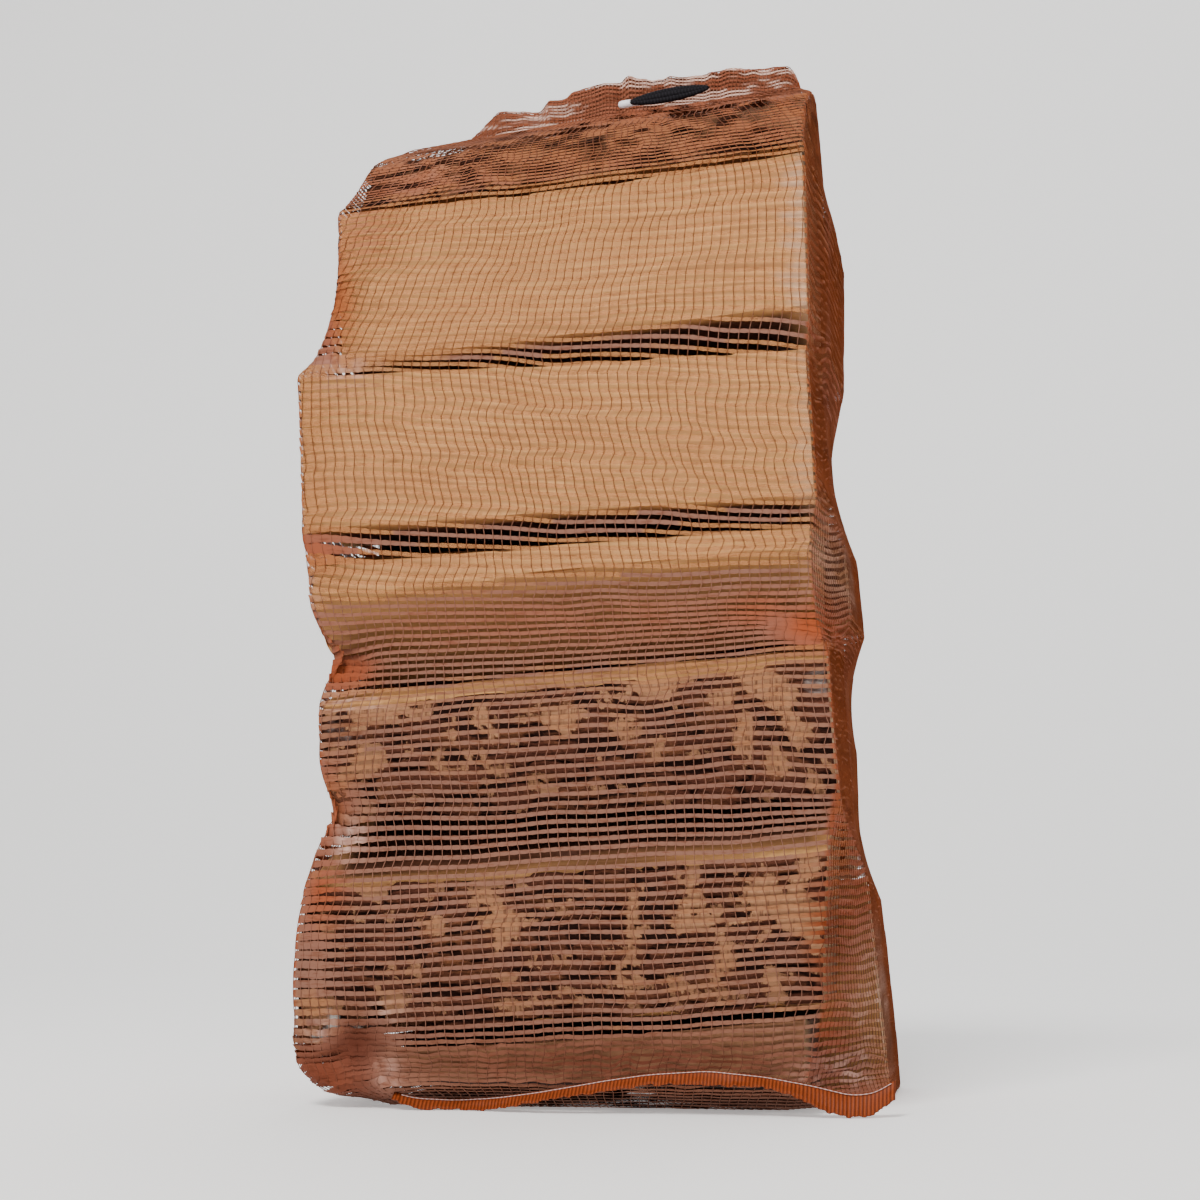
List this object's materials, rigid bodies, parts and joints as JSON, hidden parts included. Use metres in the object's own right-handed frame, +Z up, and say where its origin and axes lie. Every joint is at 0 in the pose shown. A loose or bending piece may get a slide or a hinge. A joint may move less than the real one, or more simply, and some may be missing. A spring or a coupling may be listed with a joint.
{
  "type": "bagged firewood bundle",
  "caption": "Split firewood logs lying across a tall knitted net bag with a gathered mouth and a sewn bottom hem.",
  "frame": {"origin": "centre of the bounding box in plan, on the surface that the bag stands on", "axes": "+X along the logs to the viewer's right, -Y the front of the bag, +Z up towards the gathered mouth"},
  "size_m": [0.2971, 0.2051, 0.5383],
  "materials": {
    "split_wood": "rough split and sawn softwood with strips of bark",
    "orange_net": "knitted flat plastic tapes and thin chain threads",
    "black_cord": "braided cord",
    "white_crimp": "smooth sleeve"
  },
  "bodies": {
    "root": {"log_front_1": "split_wood", "log_front_2": "split_wood", "log_front_3": "split_wood", "log_front_4": "split_wood", "log_front_5": "split_wood", "log_front_6": "split_wood", "log_front_7": "split_wood", "log_back_1": "split_wood", "log_back_2": "split_wood", "log_back_3": "split_wood", "log_back_4": "split_wood", "log_back_5": "split_wood", "log_back_6": "split_wood", "log_back_7": "split_wood", "net_bag": "orange_net", "drawcord": "black_cord", "cord_crimp": "white_crimp"}
  },
  "joints": []
}
